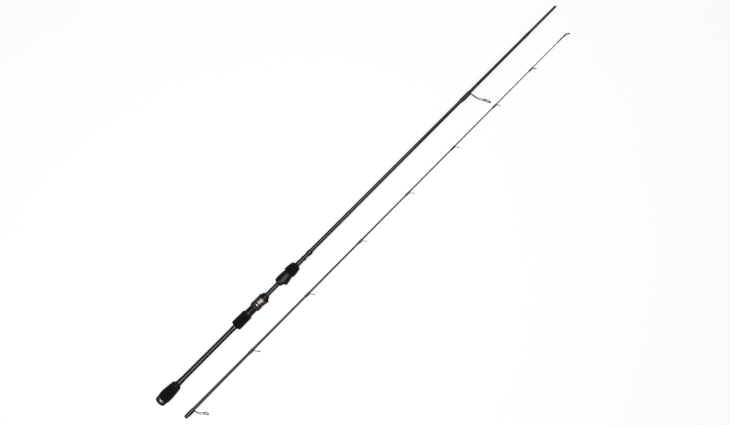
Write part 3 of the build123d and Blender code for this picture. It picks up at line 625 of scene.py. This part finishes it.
def threaded_barrel():
    """Barrel with one right-hand thread: radius = crest - depth * groove(station / pitch - angle / turn),
    where the groove is a flat-bottomed wave that fades at both ends. A keyway runs down its back."""
    rear, nose_end = butt.span("seat_barrel")
    front = butt.span("seat_arbor")[1]
    crest = butt.outline("seat_barrel")[1].max()
    bore = butt.outline("seat_arbor")[1].max() - HIDDEN
    edge = math.asin(KEYWAY_HALF_WIDTH / crest)
    angles = np.concatenate(
        (
            np.linspace(edge + 0.005 - np.pi, np.pi - edge - 0.005, 88),
            np.linspace(np.pi - edge, np.pi + edge, 8),
        )
    )
    stations = np.arange(rear + 0.3 * MM, front, 0.13 * MM)
    phase = (stations[:, None] / THREAD_PITCH - angles / (2 * np.pi)) % 1.0
    groove = smooth(0.38 - np.abs(phase - 0.5), 0.0, 0.25)
    fade = smooth(stations, rear + 4 * MM, rear + 7 * MM) * smooth(-stations, -front, 1.5 * MM - front)
    radius = crest - THREAD_DEPTH * groove * fade[:, None]
    nose = eased(
        [
            (front + 0.05 * MM, crest),
            (front + 3.4 * MM, crest - 0.5 * MM),
            (nose_end, butt_blank(nose_end) + 0.5 * MM),
            (nose_end, butt_blank(nose_end) - HIDDEN),
            (front, bore),
            (rear, bore),
            (rear, crest - 0.3 * MM),
        ],
        [0.3 * MM, 2.4 * MM, 0.3 * MM, 0, 0, 0, 0],
        loop=True,
    )
    all_stations = np.concatenate((stations, nose[:, 0]))[:, None]
    all_radii = np.concatenate((radius, np.repeat(nose[:, 1:], len(angles), 1)))
    across = np.abs(all_radii * np.sin(angles))
    floor = (crest - KEYWAY_DEPTH) / np.maximum(-np.cos(angles), 0.1)
    in_keyway = (np.cos(angles) < 0) & (across < KEYWAY_HALF_WIDTH + 0.001 * MM) & (all_stations < front)
    all_radii = np.where(in_keyway, np.minimum(all_radii, floor), all_radii)
    points = butt.place(all_stations, all_radii * np.cos(angles), all_radii * np.sin(angles))
    shells = [(points, True)]
    make_piece(
        "threaded_seat_barrel", butt, shells, "seat_nylon", "butt_section", "seat_barrel", sharp=MOULDED_CREASE
    )


def fluted_nut():
    """Lock nut: radius = the smaller of its rim and the hollow that each flute's circle leaves, where the
    circle's middle stands just outside the rim. The flutes run out before both ends."""
    rear, front = butt.span("lock_nut")
    ring_rear = butt.span("nut_ring")[0]
    rim = butt.outline("lock_nut")[1].max()
    seat = butt.oval("lock_nut", front)[2]
    bore = butt.outline("seat_barrel")[1].max() + 0.1 * MM
    middle = rim + FLUTE_STAND_OFF
    angles = turn_angles(FLUTE_COUNT * 14)
    half_step = np.pi / FLUTE_COUNT
    nearest = (angles + half_step) % (2 * half_step) - half_step
    inside = np.maximum(FLUTE_RADIUS**2 - (middle * np.sin(nearest)) ** 2, 0)
    hollow = np.where(inside > 0, middle * np.cos(nearest) - np.sqrt(inside), rim)
    depth = np.maximum(rim - hollow, 0)
    outer = eased(
        [(rear, rim - 1.0 * MM), (rear, rim - 0.6 * MM), (rear + 0.8 * MM, rim), (ring_rear - 0.3 * MM, rim)],
        0.3 * MM,
    )
    stations = np.concatenate((outer[:-1, 0], np.linspace(rear + 1.6 * MM, ring_rear - 0.6 * MM, 24)))
    profile = np.concatenate((outer[:-1, 1], np.full(24, rim)))
    run_in = smooth(stations, rear + 0.5 * MM, rear + 1.6 * MM)
    run_out = smooth(-stations, -ring_rear, 1.4 * MM - ring_rear)
    radii = profile[:, None] - depth * (run_in * run_out)[:, None]
    closing = np.array(
        [
            (ring_rear - 0.3 * MM, rim - 0.05 * MM),
            (ring_rear, rim - 0.4 * MM),
            (ring_rear + 0.05 * MM, seat - 0.4 * MM),
            (front, seat - 0.4 * MM),
            (front, bore + 0.9 * MM),
            (front - 0.4 * MM, bore + 0.85 * MM),
            (front - 4 * MM, bore + 0.85 * MM),
            (front - 4.2 * MM, bore),
            (rear + 0.4 * MM, bore),
            (rear, bore + 0.4 * MM),
        ]
    )
    all_stations = np.concatenate((stations, closing[:, 0]))
    all_radii = np.concatenate((radii, np.repeat(closing[:, 1:], len(angles), 1)))
    points = butt.place(all_stations[:, None], all_radii * np.cos(angles), all_radii * np.sin(angles))
    make_piece("fluted_lock_nut", butt, [(points, True)], "seat_nylon", "hood_nut", "lock_nut", sharp=40)


def bright_nut_ring():
    """Polished ring on the front of the nut, with a dark-looking groove behind its crown."""
    first, last = butt.span("nut_ring")
    radius = butt.outline("nut_ring")[1].max()
    bore = butt.oval("lock_nut", butt.span("lock_nut")[1])[2] - 0.3 * MM
    sleeve(
        "bright_nut_ring",
        "nut_ring",
        [
            (first, bore),
            (first, radius - 0.15 * MM),
            (first + 0.55 * MM, radius - 0.15 * MM),
            (first + 0.65 * MM, radius - 0.5 * MM),
            (first + 0.95 * MM, radius - 0.5 * MM),
            (first + 1.05 * MM, radius),
            (last, radius),
            (last, bore),
        ],
        [0, 0.2 * MM, 0.08 * MM, 0.04 * MM, 0.04 * MM, 0.15 * MM, 0.3 * MM, 0],
        "polished_ring",
        "hood_nut",
    )


def oval_ring(sizes, angles):
    """Reach and height of an oval round the section: its middle stands off by half foot less back."""
    foot, back, side = sizes
    return (foot - back) / 2 + (foot + back) / 2 * np.cos(angles), side * np.sin(angles)


def between(first, second, share):
    """Sizes a share of the way from one oval to another."""
    return tuple(a + (b - a) * share for a, b in zip(first, second))


def shrunk(sizes, amount):
    """An oval drawn in by an amount all round."""
    return tuple(size - amount for size in sizes)


def pocket_share(angles, half_angle):
    """1 over the pocket's width on the foot side, 0 elsewhere, with steep sides."""
    return smooth(-np.abs(angles_from_foot(angles)), -half_angle - 0.04, -half_angle)


def pocket_angles(half_angle):
    """Even angles, with more of them at the two sides of a pocket."""
    sides = np.linspace(half_angle - 0.02, half_angle + 0.06, 7)
    return np.union1d(turn_angles(96), np.concatenate((sides, 2 * np.pi - sides)))


def grid_of_ovals(rows, angles):
    """Grid through rows of station and oval sizes."""
    stations = np.array([station for station, _ in rows])[:, None]
    ovals = np.array([oval_ring(sizes, angles) for _, sizes in rows])
    return butt.place(stations, ovals[:, 0], ovals[:, 1])


def hood_sizes():
    """Where the band begins and ends, where the lip ends, and the hood's ovals at the first and last."""
    band_rear, band_front = butt.span("hood_band")
    front = butt.span("moving_hood")[1]
    return band_rear, band_front, front, butt.oval("hood_band", band_rear), butt.oval("moving_hood", front)


def metal_band():
    """Champagne band round the moving hood: two thin rolled edges and a shallow waist between them."""
    rear, front, lip_front, rear_oval, lip_oval = hood_sizes()
    front_oval = between(rear_oval, lip_oval, (front - rear) / (lip_front - rear))
    angles = turn_angles(120)
    t = np.linspace(0, 1, 36)
    edge = smooth(t, 0, 0.04) * smooth(-t, -1, -0.96)
    waist = 0.16 * MM * smooth(t, 0.1, 0.3) * smooth(-t, -0.9, -0.7)
    drawn_in = 0.3 * MM * (1 - edge) + waist
    rows = [
        (rear + (front - rear) * share, shrunk(between(rear_oval, front_oval, share), amount))
        for share, amount in zip(t, drawn_in)
    ]
    rows.append((front - 0.02 * MM, shrunk(front_oval, BAND_WALL)))
    rows.append((rear + 0.02 * MM, shrunk(rear_oval, BAND_WALL)))
    band = grid_of_ovals(rows, angles)
    make_piece("champagne_hood_band", butt, [(band, True)], "champagne_metal", "reel_hood", "hood_band")


def sliding_hood():
    """Moving hood as one closed shell: swivel neck, collar, core under the band and rounded front lip, then
    back along its bore. On the foot side the bore opens forwards into the pocket for the reel's foot."""
    rear, _ = butt.span("moving_hood")
    band_rear, band_front, front, rear_oval, lip_oval = hood_sizes()
    nut_front = butt.span("lock_nut")[1]
    bore = butt.outline("seat_barrel")[1].max() + 0.12 * MM
    collar = (bore + 1.1 * MM,) * 3
    neck = (bore + 0.7 * MM,) * 3
    band_oval = between(rear_oval, lip_oval, (band_front - band_rear) / (front - band_rear))
    half_angle = math.asin(POCKET_HALF_WIDTH / lip_oval[2])
    angles = pocket_angles(half_angle)
    share = pocket_share(angles, half_angle)
    outer = [
        (rear, neck),
        (nut_front + 0.3 * MM, neck),
        (nut_front + 0.32 * MM, shrunk(collar, 0.2 * MM)),
        (nut_front + 0.5 * MM, collar),
        (band_rear - 0.3 * MM, collar),
        (band_rear, shrunk(rear_oval, 0.45 * MM)),
        (band_rear + 0.05 * MM, shrunk(rear_oval, 0.75 * MM)),
        (band_front - 0.05 * MM, shrunk(band_oval, 0.75 * MM)),
        (band_front, shrunk(band_oval, 0.25 * MM)),
        (band_front + 0.15 * MM, shrunk(band_oval, 0.06 * MM)),
        (band_front + 0.5 * MM, band_oval),
    ]
    for angle in np.linspace(0, np.pi / 2, 8):
        drawn_in = HOOD_LIP_ROUNDING * (1 - math.cos(angle)) + 0.02 * MM
        outer.append((front - HOOD_LIP_ROUNDING * (1 - math.sin(angle)), shrunk(lip_oval, drawn_in)))
    steps = np.concatenate((np.linspace(0, 0.06, 5), np.linspace(0.1, 1, 18)))
    grid = [grid_of_ovals(outer, angles)]
    round_bore = (bore,) * 3
    for step in steps:
        station = front - 0.05 * MM - step * HOOD_POCKET_DEPTH
        mouth = shrunk(lip_oval, HOOD_LIP_WALL)
        ceiling = between(mouth, round_bore, step**1.5)
        plain = np.array(oval_ring(round_bore, angles))
        hollow = np.array(oval_ring(ceiling, angles))
        reach, height = plain + (hollow - plain) * share
        grid.append(butt.place(np.array([station])[:, None], reach[None], height[None]))
    pocket_end = front - HOOD_POCKET_DEPTH - 0.1 * MM
    grid.append(grid_of_ovals([(pocket_end, round_bore), (rear, round_bore)], angles))
    shells = [(np.concatenate(grid), True)]
    make_piece("sliding_reel_hood", butt, shells, "seat_nylon", "reel_hood", "moving_hood", sharp=MOULDED_CREASE)


def fixed_hood():
    """Front hood as one closed shell. Away from the foot side its profile runs from the nose over the
    shoulder to the lip and down to the foregrip. Over the pocket the run from shoulder to lip is led in
    along the pocket's floor and back under its roof instead, blended by the pocket's share of the angle."""
    nose, front = butt.span("front_hood")
    station, reach, _ = butt.read("front_hood").T
    lip = station[reach.argmax()]
    shoulder = butt.span("front_arbor")[0]
    nose_oval = (butt_blank(nose) + 0.5 * MM,) * 3
    shoulder_oval = butt.oval("front_hood", shoulder)
    lip_oval = butt.oval("front_hood", lip)
    end_oval = butt.oval("front_hood", front)
    half_angle = math.asin(POCKET_HALF_WIDTH / lip_oval[2])
    angles = pocket_angles(half_angle)
    share = pocket_share(angles, half_angle)

    def ring(where, sizes):
        made = np.array(oval_ring(sizes, angles))
        return np.stack((np.full(len(angles), where), *made))

    rows = []
    for t in np.linspace(0, 1, 12):
        swell = between(nose_oval, shoulder_oval, math.sin(t * np.pi / 2))
        rows.append(ring(nose + (shoulder - nose) * t, swell))
    across = np.clip(lip_oval[2] * np.sin(angles), -POCKET_HALF_WIDTH, POCKET_HALF_WIDTH)
    wall_station = front - FRONT_POCKET_END
    inside = [(shoulder + 0.4 * MM, 0.0), (lip, 0.0), (wall_station - 0.4 * MM, 0.0), (wall_station, 0.15)]
    inside += [(wall_station, 0.85), (wall_station - 0.4 * MM, 1.0), (0.5 * (lip + wall_station), 1.0)]
    inside += [(lip + 0.9 * MM, 1.0), (lip + 0.35 * MM, 1.1), (lip + 0.1 * MM, 1.3)]
    for index, (where, lift) in enumerate(inside):
        t = (index + 1) / (len(inside) + 1)
        plain = ring(shoulder + (lip - shoulder) * t, between(shoulder_oval, shrunk(lip_oval, 0.02 * MM), t))
        over = between(lip_oval, end_oval, np.clip((where - lip) / (front - lip), 0, 1))
        roof = oval_ring(shrunk(over, FRONT_HOOD_WALL), angles)[0]
        depth = FRONT_POCKET_FLOOR + (roof - FRONT_POCKET_FLOOR) * lift
        hollow = np.stack((np.full(len(angles), where), depth, across))
        rows.append(plain + (hollow - plain) * share)
    for t in np.linspace(0, 1, 7):
        turn = t * np.pi / 2
        rounded = shrunk(lip_oval, 0.5 * MM * (1 - math.sin(turn)))
        rows.append(ring(lip + 0.9 * MM * (1 - math.cos(turn)), rounded))
    for t in np.linspace(0.1, 1, 24):
        swell = 0.25 * MM * math.sin(np.pi * t)
        sizes = between(lip_oval, end_oval, t)
        rows.append(ring(lip + (front - 0.4 * MM - lip) * t, shrunk(sizes, -swell)))
    rows.append(ring(front, shrunk(end_oval, 0.4 * MM)))
    rows.append(ring(front, (butt_blank(front) + 0.5 * MM,) * 3))
    rows.append(ring(nose + 0.1 * MM, (butt_blank(nose) - HIDDEN,) * 3))
    grid = np.array(rows)
    points = butt.place(grid[:, 0], grid[:, 1], grid[:, 2])
    shells = [(points, True)]
    make_piece("fixed_front_hood", butt, shells, "seat_nylon", "butt_section", "front_hood", sharp=MOULDED_CREASE)


# ---- windings ----


def winding(name, node, section, blank, body, foot=0.0, half_width=1 * MM):
    """Thread under varnish: radius = blank + rise * (cover + foot * lobe), where the rise is smooth at both
    ends and the lobe is a bell over the foot side, as wide as the foot that lies beneath."""
    first, last = section.span(node)
    reach = section.read(node)
    middle = reach[np.abs(reach[:, 0] - (first + last) / 2) < (last - first) / 2]
    back = (np.hypot(middle[:, 1], middle[:, 2]) - blank(middle[:, 0]))[middle[:, 1] < 0].max()
    angles = turn_angles(64)
    steps = max(24, int((last - first) / (0.3 * MM)))
    stations = np.linspace(first, last, steps)[:, None]
    slope = min(2.2 * MM, (last - first) / 3)
    rise = smooth(stations, first, first + slope) * smooth(-stations, -last, slope - last)
    width = half_width / blank(last) + 0.25
    lobe = np.exp(-((angles_from_foot(angles) / width) ** 2))
    ramp = smooth(stations, first, first + 0.45 * (last - first))
    radii = blank(stations) + 0.03 * MM + rise * (back + (foot * ramp if foot else 0.0) * lobe)
    inner = np.repeat(blank(stations) - HIDDEN, len(angles), 1)[::-1]
    all_stations = np.concatenate((stations, stations[::-1]))
    all_radii = np.concatenate((radii, inner))
    points = section.place(all_stations, all_radii * np.cos(angles), all_radii * np.sin(angles))
    make_piece(name, section, [(points, True)], "wrap_varnish", body, node)


def hook_loop():
    """Hook keeper: one round wire, eased at its bends, whose two ends run on along the blank."""
    points = butt.read("hook_keeper")
    first, last = butt.span("hook_keeper")
    wire = 0.45 * MM
    top = points[:, 1].max() - wire
    peak = points[points[:, 1].argmax(), 0]
    seat = butt_blank(first) + wire
    loop_rear = first + 4.5 * MM
    loop_front = last - 9 * MM
    corners = [(first, seat), (loop_rear, seat), (peak, top + 0.7 * MM), (loop_front, seat), (last, seat)]
    line = evenly(eased(np.array(corners), [0, 1.6 * MM, 1.6 * MM, 1.4 * MM, 0], steps=12), 0.25 * MM)
    path = butt.place(line[:, 0], line[:, 1], 0.0)
    bent = strip(path, butt.up, wire, wire)
    make_piece("bent_wire_keeper", butt, [(bent, False)], "keeper_wire", "butt_section", "hook_keeper")


# ---- guides ----


def ring_place(section, ring_node):
    """A ring's centre in space, the way it faces, and its outer radius, bore radius and half thickness.
    It faces along the direction in which its points spread least."""
    points = section.read(ring_node)
    centre = (points.min(0) + points.max(0)) / 2
    offsets = points - centre
    facing = np.linalg.svd(offsets, full_matrices=False)[2][2]
    facing = facing if facing[0] > 0 else -facing
    depth = offsets @ facing
    radius = np.sqrt(np.maximum((offsets**2).sum(1) - depth**2, 0))
    axes = np.stack((section.along, section.out, section.up))
    return section.place(*centre), facing @ axes, centre, facing, radius.max(), radius.min(), depth.max()


def ring_insert(centre, facing, up, outer, bore, half):
    """Ceramic ring: its section is a rounded bar whose inner side is the rounder one."""
    corners = [(bore, -half), (outer + 0.05 * MM, -half), (outer + 0.05 * MM, half), (bore, half)]
    outline = eased(corners, [half, 0.2 * MM, 0.2 * MM, half], loop=True)
    return hoop(centre, facing, up, outline)


def hoop_band(centre, facing, up, outer, bore, half):
    """Metal hoop round the ring: a flat band with rolled edges."""
    corners = [(bore, -half), (outer, -half), (outer, half), (bore, half)]
    outline = eased(corners, 0.35 * half, loop=True)
    return hoop(centre, facing, up, outline)


def line_guide(number, section, blank, body, foot_width, foot_thickness, leg_width, leg_thickness):
    """A single-foot guide: two flat legs that lie side by side under the thread, turn out from the blank
    where the foot ends, and lean forwards from a knee half way up to the sides of the hoop."""
    name = f"guide_{number}"
    centre, facing, middle, local_facing, outer, bore, half = ring_place(section, f"{name}_ring")
    up = section.up - section.up.dot(facing) * facing
    frame_points = section.read(f"{name}_frame")
    hoop_radius = np.abs(frame_points[:, 2]).max()
    foot_rear = frame_points[:, 0].min()
    low = frame_points[frame_points[:, 1] < blank(frame_points[:, 0]) + foot_thickness * 1.05]
    foot_end = low[:, 0].max()
    rest = blank(foot_end) + foot_thickness / 2
    held_radius = (outer + hoop_radius) / 2
    towards_blank = np.array((-math.hypot(local_facing[1], 0), -local_facing[0], 0))
    hold = 0.3
    hold_point = middle + towards_blank * held_radius * math.sin(hold)
    hold_height = held_radius * math.cos(hold)
    rise = hold_point[1] - rest
    shells = [(hoop_band(centre, facing, up, hoop_radius, outer, half * 0.8), True)]
    side_gap = foot_width / 2 - leg_width / 2
    for side in (-1, 1):
        start = side * side_gap
        knee = start + (side * hold_height - start) * 0.55
        corners = [
            (foot_rear, blank(foot_rear) + foot_thickness / 3, start),
            (foot_rear + 0.35 * (foot_end - foot_rear), rest, start),
            (foot_end - 0.2 * leg_thickness, rest, start),
            (foot_end + 0.12 * (hold_point[0] - foot_end), rest + 0.5 * rise, knee),
            (hold_point[0], hold_point[1], side * hold_height),
        ]
        sizes = [0, 2 * leg_thickness, 1.6 * leg_thickness, 0.25 * rise, 0]
        line = evenly(eased(corners, sizes, steps=14), max(0.3 * MM, leg_thickness * 0.35))
        path = section.place(line[:, 0], line[:, 1], line[:, 2])
        share = np.linspace(0, 1, len(path))
        width = leg_width * (1 - 0.2 * smooth(share, 0.5, 1)) * (0.6 + 0.4 * smooth(share, 0, 0.15)) / 2
        thickness = leg_thickness * (0.45 + 0.55 * smooth(share, 0, 0.2)) / 2
        shells.append((strip(path, section.up, width, thickness, square=0.55), False))
    make_piece(f"{name}_bent_frame", section, shells, "guide_metal", body, f"{name}_frame")
    insert = ring_insert(centre, facing, up, outer, bore, half)
    make_piece(f"{name}_ceramic_ring", section, [(insert, True)], "guide_ceramic", body, f"{name}_ring")
    rise_over_foot = foot_thickness + 0.1 * MM
    winding(f"{name}_foot_winding", f"{name}_wrap", section, blank, body, rise_over_foot, foot_width / 2)


def tip_top():
    """Tip-top: a closed tube over the blank's end with a rolled rear edge, a hoop and ring in front of it,
    two side braces from the tube to the hoop, and a short neck."""
    rear = tip.span("tip_top_wrap")[1]
    end = tip.span("tip_blank")[1] + 0.35 * MM
    tube = tip_blank(end) + 0.35 * MM
    centre, facing, middle, local_facing, outer, bore, half = ring_place(tip, "tip_top_ring")
    up = tip.up - tip.up.dot(facing) * facing
    hoop_radius = np.abs(tip.read("tip_top_frame")[:, 2]).max()
    held = (hoop_radius + outer) / 2
    towards_blank = np.array((-math.hypot(local_facing[1], 0), -local_facing[0], 0))
    outline = eased(
        [
            (rear, tip_blank(rear) - HIDDEN),
            (rear, tube + 0.02 * MM),
            (end, tube),
            (end, 0.1 * MM),
        ],
        [0, 0.15 * MM, 0.5 * MM, 0],
    )
    shells = [
        (turned(tip, outline, turn_angles(48)), False),
        (hoop_band(centre, facing, up, hoop_radius, outer, half * 0.8), True),
    ]
    for side in (-1, 1):
        foot = np.array((rear + 0.55 * (end - rear), tube * 0.75, side * tube * 0.5))
        hold = middle + np.array((0, 0, side * held))
        bend = (foot + hold) / 2 + np.array((0, 0.25 * MM, side * 0.25 * MM))
        line = evenly(eased([foot, bend, hold], 3 * MM, steps=12), 0.25 * MM)
        shells.append((strip(tip.place(*line.T), tip.up, 0.32 * MM, 0.32 * MM), False))
    neck_foot = np.array((end - 1.5 * MM, tube * 0.4, 0))
    neck_hold = middle + towards_blank * held
    neck = neck_foot + (neck_hold - neck_foot) * np.linspace(0, 1, 12)[:, None]
    shells.append((strip(tip.place(*neck.T), tip.up, 0.6 * MM, 0.4 * MM), False))
    make_piece("tip_top_tube_and_hoop", tip, shells, "guide_metal", "tip_section", "tip_top_frame")
    insert = ring_insert(centre, facing, up, outer, bore, half)
    make_piece("tip_top_ceramic_ring", tip, [(insert, True)], "guide_ceramic", "tip_section", "tip_top_ring")


butt_section_blank()
tip_section_blank()
end_cap()
trim_ring()
foam_grip("foam_butt_grip", "butt_grip")
foam_grip("foam_rear_grip", "rear_grip")
foam_grip("foam_foregrip", "foregrip")
tapered_check("butt_grip_tapered_check", "butt_grip_check")
tapered_check("foregrip_tapered_check", "foregrip_check")
threaded_barrel()
fluted_nut()
bright_nut_ring()
metal_band()
sliding_hood()
fixed_hood()
hook_loop()
for handle_wrap in ("butt_wrap", "rear_wrap", "foregrip_wrap"):
    winding(f"{handle_wrap}_thread", handle_wrap, butt, butt_blank, "butt_section")
for mark in ("rear_accent_wrap", "front_accent_wrap", "ferrule_mark_wrap"):
    winding(f"{mark}_thread", mark, butt, butt_blank, "butt_section")
for keeper in ("keeper_rear_wrap", "keeper_front_wrap"):
    winding(f"{keeper}_thread", keeper, butt, butt_blank, "butt_section", foot=0.9 * MM, half_width=0.5 * MM)
winding("tip_top_wrap_thread", "tip_top_wrap", tip, tip_blank, "tip_section")
line_guide(1, butt, butt_blank, "butt_section", 3.8 * MM, 0.8 * MM, 1.9 * MM, 1.1 * MM)
line_guide(2, tip, tip_blank, "tip_section", 3.2 * MM, 0.7 * MM, 1.6 * MM, 0.9 * MM)
for small in range(3, 10):
    line_guide(small, tip, tip_blank, "tip_section", 2.0 * MM, 0.45 * MM, 1.0 * MM, 0.6 * MM)
tip_top()


# ---- floor, light and camera ----


def pale_floor():
    """A wide, plain white floor just under the rod, which polished surfaces don't mirror."""
    half = 20.0
    level = cad_box[0][2] - 0.15 * MM
    mesh = bpy.data.meshes.new("pale_floor")
    corners = [(-half, -half, level), (half, -half, level), (half, half, level), (-half, half, level)]
    mesh.from_pydata(corners, [], [(0, 1, 2, 3)])
    paper = Finish("pale_paper", (0.42, 0.42, 0.42), 0.9, Specular_IOR_Level=0.0)
    paper.mottle(paper.noise(0.4, 2), 0.01)
    paper.shader.inputs["Emission Color"].default_value = (1, 1, 1, 1)
    paper.shader.inputs["Emission Strength"].default_value = 0.75
    mesh.materials.append(paper.material)
    floor = bpy.data.objects.new("pale_floor", mesh)
    floor.visible_glossy = False
    bpy.context.scene.collection.objects.link(floor)


def soft_light(name, power, centre, length, width):
    """A large soft light overhead, level with the floor."""
    lamp = bpy.data.lights.new(name, "AREA")
    lamp.shape = "RECTANGLE"
    lamp.size, lamp.size_y = length, width
    lamp.energy = power
    light = bpy.data.objects.new(name, lamp)
    light.location = centre
    light.visible_camera = False
    bpy.context.scene.collection.objects.link(light)


def room_light():
    """White all round for the eye, and a dim grey for everything that is lit by it."""
    world = bpy.data.worlds.new("studio")
    world.use_nodes = True
    tree = world.node_tree
    backdrop = tree.nodes["Background"]
    backdrop.inputs["Color"].default_value = (1, 1, 1, 1)
    path = tree.nodes.new("ShaderNodeLightPath")
    level = tree.nodes.new("ShaderNodeMapRange")
    level.inputs["To Min"].default_value = 0.07
    level.inputs["To Max"].default_value = 1.0
    tree.links.new(path.outputs["Is Camera Ray"], level.inputs["Value"])
    tree.links.new(level.outputs["Result"], backdrop.inputs["Strength"])
    bpy.context.scene.world = world


def camera_above():
    """Camera straight above the rod, turned so that the rod runs from lower left to upper right."""
    lens = bpy.data.cameras.new("camera")
    lens.sensor_width = 36.0
    lens.lens = 30.25
    camera = bpy.data.objects.new("camera", lens)
    camera.location = (0.5457, -0.0217, 1.2)
    camera.rotation_euler = (0, 0, math.radians(-45))
    bpy.context.scene.collection.objects.link(camera)
    bpy.context.scene.camera = camera


pale_floor()
soft_light("overhead_softbox", 15.0, (0.55, -0.03, 1.85), 2.9, 1.7)
soft_light("handle_softbox", 12.0, (0.0, -0.03, 1.8), 1.9, 1.2)
room_light()
camera_above()
bpy.context.scene.view_settings.view_transform = "Standard"
